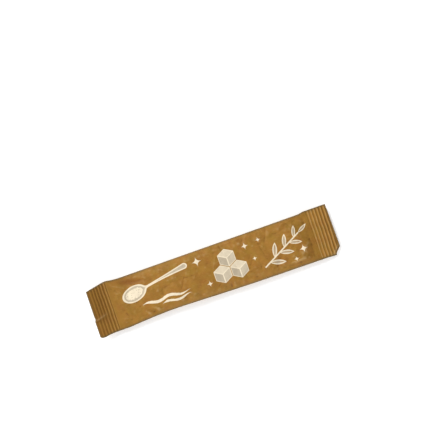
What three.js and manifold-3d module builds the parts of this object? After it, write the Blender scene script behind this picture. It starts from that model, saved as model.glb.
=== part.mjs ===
// A sealed paper stick sachet of sugar, lying on its back seam with the printed side up.
// One flattened paper tube: a soft pillow of sugar in the middle and a flat crimped seal across each end.
// Millimetres, +Z up. X runs along the sachet, Y across it, and the table is at Z = 0 under its middle.
import * as THREE from "three";
import { mergeVertices } from "three/addons/utils/BufferGeometryUtils.js";
import Module from "manifold-3d";

const { lerp, clamp, smoothstep } = THREE.MathUtils;

// Driving dimensions
const packLength = 108; // from one cut end to the other
const flatWidth = 22.4; // of the empty tube pressed flat
const sealLength = 9.12; // from the inner edge of a seal, where the pillow starts, to its cut
const ridgesPerSeal = 6;
const ridgeDepth = 0.36; // from trough to crest
const sealThickness = 0.4;
const sealRootHeight = 1.9; // middle of the seal above the table, where the pillow starts
const edgeThickness = 0.7; // of the folded side of the tube along the pillow
const edgeInset = 0.18; // how far the fold's crest stands out past its two faces

// The sugar has slid to the -X half: that half is full, and the +X half is slack
const full = { rise: 3.0, sideHeight: 2.25 };
const slack = { rise: 2.25, sideHeight: 1.85 };
const fullUntil = -18;
const slackFrom = 32;
const bottomSag = 1.3; // sag of the underside against the side's height: over 1, so it lies flat
const domePower = 0.7; // below 1 the pillow is flat on top and round at the sides

// The sides are pulled in where the pillow is thick
const upperPull = 0.7;
const lowerPull = 0.3;
const waist = { x: -21, pull: 1.2, span: 24 };
const pullInLength = 6;

// Lengthwise back seam, folded flat: a strip that stands out of the underside
const seam = { width: 7, thickness: 0.2, step: 0.3 };

// The -X seal curls up towards its cut, most on the +Y side of a slanting crease.
// Beside each seal the pillow swells over its shoulder: an ease over 1 starts it gently
const bentSeal = {
  cutMargin: 1.1, // smooth strip between the last ridge and the cut
  shoulderLength: 36,
  ease: 1.4,
  creaseAtCut: -3.2, // place across
  creaseAtRoot: -0.7,
  creaseWidth: 2.4,
  upperCurl: 2.9, // how far the cut end stands above the inner edge, on the two sides of the crease
  lowerCurl: 1.3,
  tipSkew: 1.9, // how far the +Y side turns in on its way to the cut
  rootPull: 0.55,
};
const straightSeal = { cutMargin: 0.6, shoulderLength: 12, ease: 1, drop: 0.45, twist: 0.2, sidePull: 0.22 };

// The +X, -Y corner is dog-eared. Its new outline goes from the end cut round to the side:
// each point is how far in from the cut it lies, and how far in from the side
const earOutline = [
  [0, 3.3],
  [2.1, 1.5],
  [2.5, 0.6],
  [2.8, -0.1],
];

// Soft folds of the printed face: place, half length, half width, turn from +X in degrees, height
const folds = [
  { x: -35.3, y: 7.8, along: 4.4, across: 1.3, turn: -17, height: -0.4 },
  { x: -41.2, y: 7.6, along: 3.0, across: 0.9, turn: -20, height: 0.3 },
  { x: -31.4, y: -8.1, along: 1.7, across: 0.8, turn: -45, height: 0.24 },
  { x: -27.2, y: -8.0, along: 1.9, across: 0.8, turn: -37, height: 0.24 },
  { x: 5.2, y: -8.4, along: 2.0, across: 0.9, turn: 80, height: -0.2 },
  { x: 27.2, y: -5.9, along: 4.0, across: 1.3, turn: 56, height: -0.3 },
  { x: 38.2, y: -4.4, along: 4.4, across: 1.7, turn: 44, height: 0.3 },
  { x: 36, y: -8.0, along: 4.6, across: 0.9, turn: 4, height: 0.26 },
];
const foldsFrom = 0.25; // share of the swelling from which the folds have their full height

// Facets
const bodySegments = 42;
const acrossSegments = 16;
const sideSegments = 2;

const halfLength = packLength / 2;
const halfWidth = flatWidth / 2;
const rootX = halfLength - sealLength; // inner edge of each seal is at -rootX and +rootX

// How far a place lies into a seal, from 0 at its inner edge to 1 at the cut, and 0 over the pillow
function intoSeal(x) {
  return clamp((Math.abs(x) - rootX) / sealLength, 0, 1);
}

// The pillow's fullness along its length: 0 at the seals, 1 past the shoulders
function shoulder(x) {
  const { shoulderLength, ease } = x < 0 ? bentSeal : straightSeal;
  const fromSeal = clamp((rootX - Math.abs(x)) / shoulderLength, 0, 1);
  return Math.pow(Math.sin((fromSeal * Math.PI) / 2), ease);
}

function bySlack(x, key) {
  return lerp(full[key], slack[key], smoothstep(x, fullUntil, slackFrom));
}

function ridgePitch(seal) {
  return (sealLength - seal.cutMargin) / ridgesPerSeal;
}

// Ridges run across the seal: troughs at whole pitches from the cut margin, crests between them
function ridge(x) {
  const seal = x < 0 ? bentSeal : straightSeal;
  const fromCut = halfLength - Math.abs(x);
  if (fromCut <= seal.cutMargin || fromCut >= sealLength) return 0;
  const phase = ((fromCut - seal.cutMargin) / ridgePitch(seal)) * 2 * Math.PI;
  return (ridgeDepth * (1 - Math.cos(phase))) / 2;
}

// The two folded sides of the tube, as Y at a place along it
function upperSide(x) {
  const deep = intoSeal(x);
  if (x < -rootX) return halfWidth - bentSeal.tipSkew * deep;
  if (x > rootX) return halfWidth - straightSeal.sidePull;
  const nearStraight = smoothstep(x, rootX - pullInLength, rootX);
  const nearBent = 1 - smoothstep(x, -rootX, -rootX + pullInLength);
  return halfWidth - lerp(lerp(upperPull, 0, nearBent), straightSeal.sidePull, nearStraight);
}

function lowerSide(x) {
  const deep = intoSeal(x);
  if (x > rootX) return -halfWidth + straightSeal.sidePull * (1 - deep);
  if (x < -rootX) return -halfWidth + bentSeal.rootPull * (1 - deep);
  const fromWaist = (x - waist.x) / waist.span;
  const pulled = lowerPull + waist.pull * Math.exp(-fromWaist * fromWaist);
  const nearStraight = smoothstep(x, rootX - pullInLength, rootX);
  const nearBent = 1 - smoothstep(x, -rootX, -rootX + pullInLength);
  return -halfWidth + lerp(lerp(pulled, bentSeal.rootPull, nearBent), straightSeal.sidePull, nearStraight);
}

// How far a seal rises from its inner edge: the straight one hangs, the bent one curls up
function sealRise(x, y) {
  const deep = intoSeal(x);
  if (x > 0) return deep * ((straightSeal.twist * y) / halfWidth - straightSeal.drop);
  const { creaseAtCut, creaseAtRoot, creaseWidth, upperCurl, lowerCurl } = bentSeal;
  const creaseY = lerp(creaseAtRoot, creaseAtCut, deep);
  const upperShare = smoothstep(y, creaseY - creaseWidth / 2, creaseY + creaseWidth / 2);
  return smoothstep(deep, 0, 1) * lerp(lowerCurl, upperCurl, upperShare);
}

function foldHeight(x, y) {
  let height = 0;
  for (const fold of folds) {
    const turn = THREE.MathUtils.degToRad(fold.turn);
    const dx = x - fold.x;
    const dy = y - fold.y;
    const along = (dx * Math.cos(turn) + dy * Math.sin(turn)) / fold.along;
    const across = (dy * Math.cos(turn) - dx * Math.sin(turn)) / fold.across;
    height += fold.height * Math.exp(-along * along - across * across);
  }
  return height;
}

// A point of the tube, from its place along and its place across, -1 to 1.
// Level is -1 on the underside, 0 on the crest of the folded side and 1 on the printed face
function tubePoint(x, across, level) {
  const swell = shoulder(x);
  const dome = Math.pow(Math.max(0, 1 - across * across), domePower);
  const inset = Math.abs(level) * edgeInset * swell * Math.abs(across);
  const upper = upperSide(x) - inset;
  const lower = lowerSide(x) + inset;
  const y = lerp(lower, upper, (across + 1) / 2);
  const halfEdge = lerp(sealThickness, edgeThickness, swell) / 2;
  const sideHeight = lerp(sealRootHeight, bySlack(x, "sideHeight"), swell);
  const middle = sideHeight + ridge(x) - ridgeDepth / 2 + sealRise(x, y);
  if (level === 0) return new THREE.Vector3(x, y, middle);
  if (level > 0) {
    const rise = swell * bySlack(x, "rise") + Math.min(1, swell / foldsFrom) * foldHeight(x, y);
    return new THREE.Vector3(x, y, middle + halfEdge + rise * dome);
  }
  const sag = swell * bottomSag * sideHeight * dome;
  const underside = Math.max(middle - halfEdge - sag, seam.thickness);
  const onSeam = 1 - smoothstep(Math.abs(y), seam.width / 2, seam.width / 2 + seam.step);
  return new THREE.Vector3(x, y, underside - seam.thickness * onSeam);
}

// Places of the facets along a seal, from the middle of the sachet: the cut, then each trough and crest
function sealStations(seal) {
  const stations = [halfLength];
  for (let k = 0; k < 2 * ridgesPerSeal; k++) {
    stations.push(halfLength - seal.cutMargin - (k * ridgePitch(seal)) / 2);
  }
  return stations;
}

// Places of the facets along the whole tube, from the -X cut to the +X one
function alongStations() {
  const bodyStations = [];
  for (let k = 0; k <= bodySegments; k++) {
    bodyStations.push(lerp(-rootX, rootX, k / bodySegments));
  }
  const bentStations = sealStations(bentSeal).map((x) => -x);
  return [...bentStations, ...bodyStations, ...sealStations(straightSeal).reverse()];
}

// Places across the tube, from -1 to 1: closer together at the sides, and one at each edge of the seam
function acrossStations() {
  const stations = [];
  for (let k = 0; k <= acrossSegments; k++) {
    stations.push(Math.sin((k / acrossSegments - 0.5) * Math.PI));
  }
  for (const side of [-1, 1]) {
    stations.push((side * seam.width) / 2 / halfWidth);
    stations.push((side * (seam.width / 2 + seam.step)) / (halfWidth - upperPull));
  }
  return stations.sort((a, b) => a - b);
}

// A box of facets bent into the tube
function tubeGeometry() {
  const along = alongStations();
  const across = acrossStations();
  const [columns, rows] = [along.length - 1, across.length - 1];
  const geometry = new THREE.BoxGeometry(1, 1, 1, columns, rows, sideSegments);
  const position = geometry.getAttribute("position");
  for (let i = 0; i < position.count; i++) {
    const x = along[Math.round((position.getX(i) + 0.5) * columns)];
    const v = across[Math.round((position.getY(i) + 0.5) * rows)];
    const point = tubePoint(x, v, Math.round(position.getZ(i) * sideSegments));
    position.setXYZ(i, point.x, point.y, point.z);
  }
  return geometry;
}

// The piece that is missing from the dog-eared corner, as an upright prism
function missingCorner() {
  const beyond = 3; // past the outline of the seal on both sides
  const outline = new THREE.Shape();
  outline.moveTo(halfLength + beyond, -halfWidth + earOutline[0][1]);
  for (const [fromCut, fromSide] of earOutline) {
    outline.lineTo(halfLength - fromCut, -halfWidth + fromSide);
  }
  outline.lineTo(halfLength - earOutline.at(-1)[0], -halfWidth - beyond);
  outline.lineTo(halfLength + beyond, -halfWidth - beyond);
  const depth = 2 * (sealRootHeight + ridgeDepth);
  return new THREE.ExtrudeGeometry(outline, { depth, bevelEnabled: false });
}

const wasm = await Module();
wasm.setup();

function solidFrom(geometry) {
  const bare = geometry.clone();
  bare.deleteAttribute("normal");
  bare.deleteAttribute("uv");
  const merged = mergeVertices(bare);
  const mesh = new wasm.Mesh({
    numProp: 3,
    vertProperties: merged.getAttribute("position").array,
    triVerts: new Uint32Array(merged.getIndex().array),
  });
  return new wasm.Manifold(mesh);
}

function geometryFrom(solid) {
  const { vertProperties, triVerts } = solid.getMesh();
  const geometry = new THREE.BufferGeometry();
  geometry.setAttribute("position", new THREE.BufferAttribute(vertProperties, 3));
  geometry.setIndex(new THREE.BufferAttribute(triVerts, 1));
  geometry.computeVertexNormals();
  return geometry;
}

const paper = new THREE.MeshStandardMaterial({ color: 0xa37739, roughness: 0.62, metalness: 0 });

const pouchSolid = solidFrom(tubeGeometry()).subtract(solidFrom(missingCorner()));
const pouch = new THREE.Mesh(geometryFrom(pouchSolid), paper);
pouch.name = "pouch";

const sachet = new THREE.Group();
sachet.add(pouch);

export default sachet;
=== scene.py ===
import math

import bpy
import numpy as np
from mathutils import Matrix, Vector, noise


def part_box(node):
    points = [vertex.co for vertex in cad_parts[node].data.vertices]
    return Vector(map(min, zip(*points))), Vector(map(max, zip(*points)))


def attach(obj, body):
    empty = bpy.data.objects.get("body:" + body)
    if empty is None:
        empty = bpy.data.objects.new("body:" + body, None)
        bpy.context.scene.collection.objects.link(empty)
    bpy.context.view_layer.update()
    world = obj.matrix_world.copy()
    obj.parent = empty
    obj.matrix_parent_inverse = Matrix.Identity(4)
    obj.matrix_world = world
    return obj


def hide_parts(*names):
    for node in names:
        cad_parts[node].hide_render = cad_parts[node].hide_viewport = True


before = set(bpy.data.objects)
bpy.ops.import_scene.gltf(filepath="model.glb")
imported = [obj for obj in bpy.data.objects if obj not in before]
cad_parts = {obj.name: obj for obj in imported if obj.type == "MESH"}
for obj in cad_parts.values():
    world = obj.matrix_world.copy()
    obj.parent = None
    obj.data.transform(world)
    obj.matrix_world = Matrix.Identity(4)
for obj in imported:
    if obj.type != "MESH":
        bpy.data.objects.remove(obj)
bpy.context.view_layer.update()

# Shapes are worked out in millimetres. X runs along the sachet, Y across it, and the table is at Z = 0
mm = 0.001
hair = 1e-6  # guards comparisons of places that should be the same
lowCorner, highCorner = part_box("pouch")
halfLength = (highCorner.x - lowCorner.x) / 2 / mm
halfWidth = (highCorner.y - lowCorner.y) / 2 / mm

seals = {
    "length": 9.12,                # from the root, where the pillow starts, to the cut
    "thickness": 0.26,             # all layers pressed together
    "rootHeight": 1.9,             # above the table, where the pillow starts
    "ribs": 6,
    "ribDepth": 0.36,              # trough to crest
    "ribSharpness": 1.2,
    "ribEnds": (0.1, 0.2),         # how softly the ribbed band starts and ends, outside it and inside it
    "ribWobble": (0.05, 0.03),     # slow and quick waver of the ribs on their way across
    "ribSideFrom": 0.93,           # where the ribs start to fade, as a share of the way to the side folds
    "ribSideFade": 0.5,            # share of the ribs lost at the side folds, and to uneven pressing
    "ribUneven": 0.12,
    "bentMargin": 1.1,             # smooth strip along the cut of the -X seal, and of the +X seal
    "straightMargin": 0.6,
    "straightLean": 0.37,          # how far the ribs of the +X seal lean out from its middle to its +Y side
    "bentDepth": (0.4, 0.95),      # shares of the rib depth at the cut and at the root of the -X seal
    "straightDepth": (1.35, 0.5),  # and of the +X seal
    "bentCrest": (0.2, 0.8),       # how pale the crests are painted there: rubbed ink and painted highlight
    "straightCrest": (1.0, 1.0),
    "bentTrough": (0.75, 1.0),     # how dark the troughs are painted, a painted shade
    "straightTrough": (1.0, 0.3),
    "straightDrop": 0.45,          # how far the +X seal hangs at its cut, and how much more at its -Y side
    "straightTwist": 0.2,
    "crease": (-3.2, -0.7),        # place across of the slanting crease in the -X seal, at the cut and root
    "creaseWidth": 1.8,
    "upperCurl": 2.9,              # how far that seal curls up at its cut, on the crease's +Y and -Y side
    "lowerCurl": 1.3,
    "curlFrom": 0.06,              # where the curl starts and ends, as shares of the seal's length
    "curlTo": 1.08,
    "steepest": 0.95,              # steepest climb of the curl that shortens its reach
}
rootX = halfLength - seals["length"]

# The dog-eared corner of the +X seal: the line it is folded along, and the strip that turns down beside it
ear = {
    "foldStart": (51.6, -10.4),
    "foldEnd": (53.95, -8.0),
    "stripWidth": 1.3,
    "drop": 0.35,
    "flapThickness": 0.14,
    "flapGap": 0.04,               # air between the flap and the ribs above it
    "flapBend": (-0.05, 0.3),      # where the flap bends under, as shares of its length from the fold
    "steps": 8,
}

pillow = {
    "bentShoulder": 36.0,          # lengths over which the pillow swells beside the -X and the +X seal
    "straightShoulder": 12.0,
    "bentEase": 1.4,               # how gently it starts to swell at the -X one
    "fullRise": 2.95,              # half thickness of the full -X half, and of the slack +X half
    "slackRise": 2.35,
    "fullSide": 2.3,               # height of the side folds above the table there
    "slackSide": 1.9,
    "fullUntil": -18.0,
    "slackFrom": 34.0,
    "smoothStrip": (0.2, 2.6),     # distances from a seal between which folds and dents fade in
    "tableSoftness": 0.25,         # roundness where the underside lifts off the table
}

# Side folds as seen from above: place along, distance from the middle
upperEdge = [(-54, 9.3), (-49.5, 10.3), (-44.8, 11.15), (-41.6, 10.7), (-37, 10.5), (0, 10.5),
             (41.5, 10.55), (44, 10.95), (54, 10.95)]
lowerEdge = [(-54, 10.6), (-53.2, 11.08), (-52.2, 11.2), (-49.7, 10.8), (-46, 10.6), (-42, 10.62),
             (-36, 10.3), (-29, 9.9), (-21, 9.7), (-12, 9.9), (0, 10.3), (12, 10.6), (25, 10.8),
             (40, 10.95), (47, 11.0), (51.45, 11.2), (51.7, 10.4), (51.95, 9.6), (54, 7.9)]

# Soft folds that the paper starts with: place, half length, half width, turn in degrees, height
folds = [
    (-35.0, 7.5, 5.8, 1.6, -16, -0.9),
    (-41.2, 7.6, 3.0, 0.9, -20, 0.26),
    (-31.4, -8.1, 1.7, 0.8, -45, 0.3),
    (-27.2, -8.0, 1.9, 0.8, -37, 0.3),
    (5.2, -8.4, 2.0, 0.9, 80, -0.2),
    (27.2, -5.9, 4.0, 1.3, 56, -0.45),
    (39.0, -4.8, 4.2, 1.7, 48, 0.5),
    (36, -8.0, 4.6, 0.9, 4, 0.3),
]

# Hard creases in the printed face, in the same terms
creases = [
    (-41.3, 7.6, 2.6, 0.7, -19, 0.08),
    (-41.0, 9.7, 2.4, 0.7, -26, -0.3),
    (-36.2, 6.4, 1.8, 0.5, -25, 0.14),
    (-39.0, 5.2, 3.2, 1.6, -20, -0.2),
    (-31.5, -8.1, 1.4, 0.6, -45, 0.18),
    (-29.2, -8.0, 1.3, 0.8, -45, -0.13),
    (-27.3, -8.0, 1.6, 0.6, -37, 0.18),
    (2.4, 9.0, 1.6, 0.6, 50, -0.16),
    (5.2, -8.6, 1.6, 0.5, 80, -0.12),
    (27.2, -5.6, 2.6, 0.7, 56, -0.2),
    (26.2, -8.0, 1.2, 0.5, 28, 0.24),
    (35.0, -7.9, 2.2, 0.55, 2, 0.28),
    (35.4, -8.9, 2.0, 0.5, 2, -0.2),
    (23.0, -5.6, 3.0, 2.0, 50, 0.24),
    (32.6, -5.4, 3.4, 2.0, 45, -0.3),
    (39.3, -4.7, 3.8, 2.1, 48, 0.42),
    (42.6, 1.5, 9.0, 1.4, 90, -0.18),
    (42.4, 5.5, 4.0, 1.8, 75, -0.16),
    (-22.0, 7.0, 9.0, 1.5, 2, 0.18),
    (-4.0, 7.3, 8.0, 1.4, -3, 0.2),
    (15.5, 7.2, 9.0, 1.4, -1, 0.2),
    (31.0, 7.2, 6.0, 1.4, 2, 0.16),
]

# Random folds on each face: number (of tucks, at each seal), half lengths, half widths, height
smallFolds = (22, (2, 6), (0.7, 1.3), 0.22)
wrinkles = (140, (1, 5), (0.3, 0.7), 0.2)
dents = (34, (2.5, 6), (1.2, 2.4), 0.34)
sealTucks = (12, (1.2, 3.5), (0.35, 0.7), 0.16)
foldReach = 9.5  # they keep this near to the middle, off the side folds
tuckReach = 9
tuckTurn = 25    # degrees
tuckStart = (0.3, 1.0)  # how far off the root their middles lie, as shares of the half length


def ramp(x, start, end):
    t = np.clip((x - start) / (end - start), 0, 1)
    return t * t * (3 - 2 * t)


def blend(a, b, t):
    return a + (b - a) * t


# A smooth line through points that never overshoots them
def smoothLine(points, x):
    px, py = np.array(points, float).T
    slope = np.diff(py) / np.diff(px)
    same = slope[:-1] * slope[1:] > 0
    total = np.where(same, slope[:-1] + slope[1:], 1)
    tangent = np.zeros_like(py)
    tangent[1:-1] = np.where(same, 2 * slope[:-1] * slope[1:] / total, 0)
    tangent[0], tangent[-1] = slope[0], slope[-1]
    k = np.clip(np.searchsorted(px, x) - 1, 0, len(px) - 2)
    width = px[k + 1] - px[k]
    t = np.clip((x - px[k]) / width, 0, 1)
    rise = (2 * t**3 - 3 * t**2 + 1) * py[k] + (3 * t**2 - 2 * t**3) * py[k + 1]
    return rise + width * ((t**3 - 2 * t**2 + t) * tangent[k] + (t**3 - t**2) * tangent[k + 1])


def swell(x):
    length = np.where(x < 0, pillow["bentShoulder"], pillow["straightShoulder"])
    fromSeal = np.clip((rootX - np.abs(x)) / length, 0, 1)
    return np.sin(fromSeal * math.pi / 2) ** np.where(x < 0, pillow["bentEase"], 1)


# 0 in the seals, and 1 a little way off them
def offSeals(x):
    return ramp(rootX - np.abs(x), *pillow["smoothStrip"])


def bySlack(x, ofFull, ofSlack):
    return blend(pillow[ofFull], pillow[ofSlack], ramp(x, pillow["fullUntil"], pillow["slackFrom"]))


# Soft folds have a sharpness of 2, and hard creases less
def foldRelief(x, y, rows, sharpness=2.0):
    relief = np.zeros_like(x)
    for cx, cy, along, across, turn, height in rows:
        c, s = math.cos(math.radians(turn)), math.sin(math.radians(turn))
        u = ((x - cx) * c + (y - cy) * s) / along
        v = ((y - cy) * c - (x - cx) * s) / across
        relief += height * np.exp(-u * u - np.abs(v) ** sharpness)
    return relief


def randomFolds(rng, count, lengths, widths, height):
    rows = []
    for k in range(count):
        x = rng.uniform(-rootX, rootX)
        y = rng.uniform(-foldReach, foldReach)
        along = rng.uniform(*lengths)
        across = rng.uniform(*widths)
        turn = rng.uniform(0, 180)
        rows.append((x, y, along, across, turn, height * rng.uniform(-1, 0.5)))
    return rows


# Short folds that run out of each seal into the pillow
def randomTucks(rng, count, lengths, widths, height):
    rows = []
    for root in (-rootX, rootX):
        for k in range(count):
            along = rng.uniform(*lengths)
            x = root - math.copysign(rng.uniform(*tuckStart) * along, root)
            y = rng.uniform(-tuckReach, tuckReach)
            across = rng.uniform(*widths)
            turn = rng.uniform(-tuckTurn, tuckTurn)
            rows.append((x, y, along, across, turn, height * rng.uniform(-1, 1)))
    return rows


# Quads of a flattened tube: each row is a ring, up the printed face and back along the underside
def tubeFaces(rows, columns):
    around = 2 * columns
    ring = np.arange(around)
    start = (np.arange(rows - 1) * around)[:, None]
    a, b = start + ring, start + (ring + 1) % around
    quads = np.stack([a, a + around, b + around, b], axis=-1).reshape(-1, 4)
    caps = []
    for first, flip in ((0, False), ((rows - 1) * around, True)):
        for j in range(columns):
            corner = [j, j + 1, (around - j - 1) % around, (around - j) % around]
            corner = [first + k for k in dict.fromkeys(corner)]
            caps.append(corner[::-1] if flip else corner)
    return quads.tolist(), caps


def ringPlaces(columnPlaces):
    return np.concatenate([columnPlaces, columnPlaces[-2:0:-1]])


# 1 on the printed face, -1 on the back and 0 on the two side folds
def ringSides(columns):
    side = np.zeros(2 * columns)
    side[1:columns], side[columns + 1:] = 1, -1
    return side


paperCloth = {
    "cell": 0.75,                  # spacing of the simulated paper
    "scale": 50,                   # cloth works best on things about a metre wide
    "pinRows": 3,
    "slack": 0.012,                # spare length of the paper between the seals
    "startRise": 1.7,              # half height at the start, its roundness, and how far the sides draw in
    "startRound": 0.7,
    "startNarrow": 0.05,
    "tremble": 0.01,
    "quality": 8,
    "mass": 0.3,
    "stiffness": 3000,
    "bending": 0.5,
    "damping": 10,
    "bendingDamping": 1,
    "airDamping": 3,
    "pressure": 0.5,
    "frames": 36,
    "seed": 5,
}


# The empty tube, a little swollen already, and the same paper laid flat
def startTube():
    rng = np.random.default_rng(paperCloth["seed"])
    bodyCells = round(2 * rootX / paperCloth["cell"])
    columns = round(2 * halfWidth / paperCloth["cell"])
    step = 2 * rootX / bodyCells
    extra = paperCloth["pinRows"] - 1
    along = (np.arange(bodyCells + 1 + 2 * extra) - extra) * step - rootX
    across = ringPlaces(np.linspace(-1, 1, columns + 1))
    x, v = np.meshgrid(along, across, indexing="ij")
    side = np.broadcast_to(ringSides(columns), x.shape)
    half = seals["thickness"] / 2

    startY = v * halfWidth * (1 - paperCloth["startNarrow"] * swell(x))
    rise = paperCloth["startRise"] * swell(x) * (1 - v * v) ** paperCloth["startRound"]
    upper, under = [randomFolds(rng, *smallFolds) for face in range(2)]
    relief = np.where(side > 0, foldRelief(x, startY, folds + upper), foldRelief(x, startY, under))
    relief = relief * np.abs(side) * offSeals(x) + rng.normal(0, paperCloth["tremble"], x.shape)
    pinned = np.abs(x) > rootX - step / 2
    start = np.stack([x, startY, side * (half + rise) + side * relief * ~pinned], axis=-1)
    flat = np.stack([x * (1 + paperCloth["slack"]), v * halfWidth, side * half], axis=-1)
    return start, flat, pinned, along, columns


# It swells with Blender's cloth: pinned at the seals, pushed out by the sugar
def simulateTube():
    start, flat, pinned, along, columns = startTube()

    toCloth = paperCloth["scale"] * mm
    quads, caps = tubeFaces(len(along), columns)
    mesh = bpy.data.meshes.new("paperTube")
    mesh.from_pydata((start * toCloth).reshape(-1, 3).tolist(), [], quads + caps)
    tube = bpy.data.objects.new("paperTube", mesh)
    bpy.context.scene.collection.objects.link(tube)
    tube.shape_key_add(name="swollen")
    flatKey = tube.shape_key_add(name="flat paper")
    flatKey.data.foreach_set("co", (flat * toCloth).astype(np.float32).ravel())
    flatKey.value = 0
    pins = tube.vertex_groups.new(name="seals")
    pins.add(np.flatnonzero(pinned.ravel()).tolist(), 1.0, "REPLACE")

    cloth = tube.modifiers.new("paper", "CLOTH")
    cloth.collision_settings.use_collision = False
    cloth.point_cache.frame_end = paperCloth["frames"]
    settings = cloth.settings
    settings.quality = paperCloth["quality"]
    settings.mass = paperCloth["mass"]
    for pull in ("tension", "compression", "shear"):
        setattr(settings, pull + "_stiffness", paperCloth["stiffness"])
        setattr(settings, pull + "_damping", paperCloth["damping"])
    settings.bending_model = "ANGULAR"
    settings.bending_stiffness = paperCloth["bending"]
    settings.bending_damping = paperCloth["bendingDamping"]
    settings.air_damping = paperCloth["airDamping"]
    settings.vertex_group_mass = "seals"
    settings.use_pressure = True
    settings.uniform_pressure_force = paperCloth["pressure"]
    settings.rest_shape_key = flatKey
    settings.effector_weights.gravity = 0
    for frameNumber in range(1, paperCloth["frames"] + 1):
        bpy.context.scene.frame_set(frameNumber)
    settled = tube.evaluated_get(bpy.context.evaluated_depsgraph_get())
    points = np.zeros(start.size, np.float32)
    settled.data.vertices.foreach_get("co", points)
    bpy.data.objects.remove(tube)
    bpy.data.meshes.remove(mesh)
    bpy.context.scene.frame_set(1)
    return points.reshape(start.shape).astype(float) / toCloth, along, columns


# Smooth in-between values along the first axis
def between(values, at, wrap=False):
    count = len(values)
    base = np.floor(at).astype(int)
    t = (at - base).reshape((-1,) + (1,) * (values.ndim - 1))
    weights = [-t / 2 + t**2 - t**3 / 2, 1 - 2.5 * t**2 + 1.5 * t**3,
               t / 2 + 2 * t**2 - 1.5 * t**3, -t**2 / 2 + t**3 / 2]
    total = 0
    for k, weight in enumerate(weights):
        pick = base + k - 1
        pick = pick % count if wrap else np.clip(pick, 0, count - 1)
        total = total + weight * values[pick]
    return total


def smoothed(values, reach):
    kernel = np.hanning(2 * reach + 3)[1:-1]
    padded = np.pad(values, reach, mode="edge")
    return np.convolve(padded, kernel / kernel.sum(), mode="valid")


# How far a place lies into a seal, from 0 at its root to 1 at the cut
def intoSeal(x):
    return np.clip((np.abs(x) - rootX) / seals["length"], 0, 1)


# A pair of values for the cut and the root, one pair for each seal
def alongSeal(x, what):
    bent, straight = [blend(*seals[end + what], 1 - intoSeal(x)) for end in ("bent", "straight")]
    return np.where(x < 0, bent, straight)


# Crests of the crimp from 0 to 1, fading at the side folds and pressed a little unevenly
def ribWave(x, v):
    fromCut = halfLength - np.abs(x)
    margin = np.where(x < 0, seals["bentMargin"], seals["straightMargin"])
    outer, inner = seals["ribEnds"]
    ribbed = ramp(fromCut, margin - outer, margin + inner)
    ribbed = ribbed * (1 - ramp(fromCut, seals["length"] - inner, seals["length"] + outer))
    slow, quick = seals["ribWobble"]
    wobble = slow * np.sin(5.0 * v + 2.0 * np.sign(x)) + quick * np.sin(13.0 * v)
    lean = np.where(x < 0, 0, seals["straightLean"] * v)
    pitch = (seals["length"] - margin) / seals["ribs"]
    phase = (fromCut + wobble + lean - margin) / pitch * 2 * math.pi
    pressed = 1 - seals["ribSideFade"] * ramp(np.abs(v), seals["ribSideFrom"], 1.0)
    pressed = pressed - seals["ribUneven"] * np.sin(9 * v + 1.3) ** 2
    return ribbed * pressed * (0.5 - 0.5 * np.cos(phase)) ** seals["ribSharpness"]


# Distance from the slanting crease of the -X seal, more than 0 on its +Y side
def fromCrease(x, y):
    return y - blend(*seals["crease"], 1 - intoSeal(x))


def sealDrop(x, y):
    deep = intoSeal(x)
    straight = seals["straightDrop"] - seals["straightTwist"] * y / halfWidth
    beyond = ramp(fromCrease(x, y), -seals["creaseWidth"] / 2, seals["creaseWidth"] / 2)
    curl = blend(seals["lowerCurl"], seals["upperCurl"], beyond)
    return np.where(x > 0, deep * straight, -curl * ramp(deep, seals["curlFrom"], seals["curlTo"]))


def fromEarFold(x, y):
    start = Vector(ear["foldStart"])
    along = (Vector(ear["foldEnd"]) - start).normalized()
    return np.where(x > rootX, (y - start.y) * along.x - (x - start.x) * along.y, halfLength)


def earDrop(x, y):
    return ear["drop"] * (1 - ramp(fromEarFold(x, y), 0, ear["stripWidth"]))


# The corner itself, folded under the seal as a thin three-sided flap
def cornerFlap():
    steps = ear["steps"]
    start, end = Vector(ear["foldStart"]), Vector(ear["foldEnd"])
    corner = Vector((halfLength, -halfWidth))
    along = (end - start).normalized()
    foot = start + along * (corner - start).dot(along)
    tip = 2 * foot - corner
    places = [(i, j) for i in range(steps + 1) for j in range(steps + 1 - i)]
    number = {place: k for k, place in enumerate(places)}
    flat = np.array([start + (end - start) * (j / steps) + (tip - start) * (i / steps) for i, j in places])
    away = np.array([i / steps for i, j in places])
    x, y = flat.T
    under = seals["thickness"] / 2 + seals["ribDepth"] / 2 + ear["flapGap"]
    top = seals["rootHeight"] - sealDrop(x, y) - earDrop(x, y) - under * ramp(away, *ear["flapBend"])
    upper = np.column_stack([flat, top])
    lower = np.column_stack([flat, top - ear["flapThickness"]])
    faces = []
    for i, j in places:
        if i + j < steps:
            faces.append([number[i, j], number[i, j + 1], number[i + 1, j]])
        if i + j < steps - 1:
            faces.append([number[i, j + 1], number[i + 1, j + 1], number[i + 1, j]])
    rim = [(0, j) for j in range(steps)] + [(i, steps - i) for i in range(steps)]
    rim = [number[place] for place in rim + [(i, 0) for i in range(steps, 0, -1)]]
    count = len(places)
    walls = [[a + count, b + count, b, a] for a, b in zip(rim, rim[1:] + rim[:1])]
    faces += [[k + count for k in reversed(face)] for face in faces]
    return np.concatenate([upper, lower]), faces + walls


sheet = {
    "bodyStep": 0.32,              # spacing of the points along the pillow, and along the seals
    "sealStep": 0.12,
    "columns": 76,
    "smoothReach": 4,              # length over which the settled paper's width and height are evened out
    "fullerLimits": (0.5, 1.7),    # least and greatest stretch of its height
    "seamHalf": 3.5,               # back seam: half width, height and width of its step
    "seamThickness": 0.18,
    "seamStep": 0.08,
    "crumple": 0.22,               # fine unevenness of the paper over the sugar
    "crumpleSize": 3.2,
    "fineCrumple": 0.4,            # share of a second unevenness, and how much finer it is
    "finerBy": 2.3,
    "creaseSharpness": 1.4,
    "wrinkleSharpness": 1.2,
    "backShift": 60,               # how far the back lies from the printed face, on the paper laid flat
    "seed": 11,
}


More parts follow.
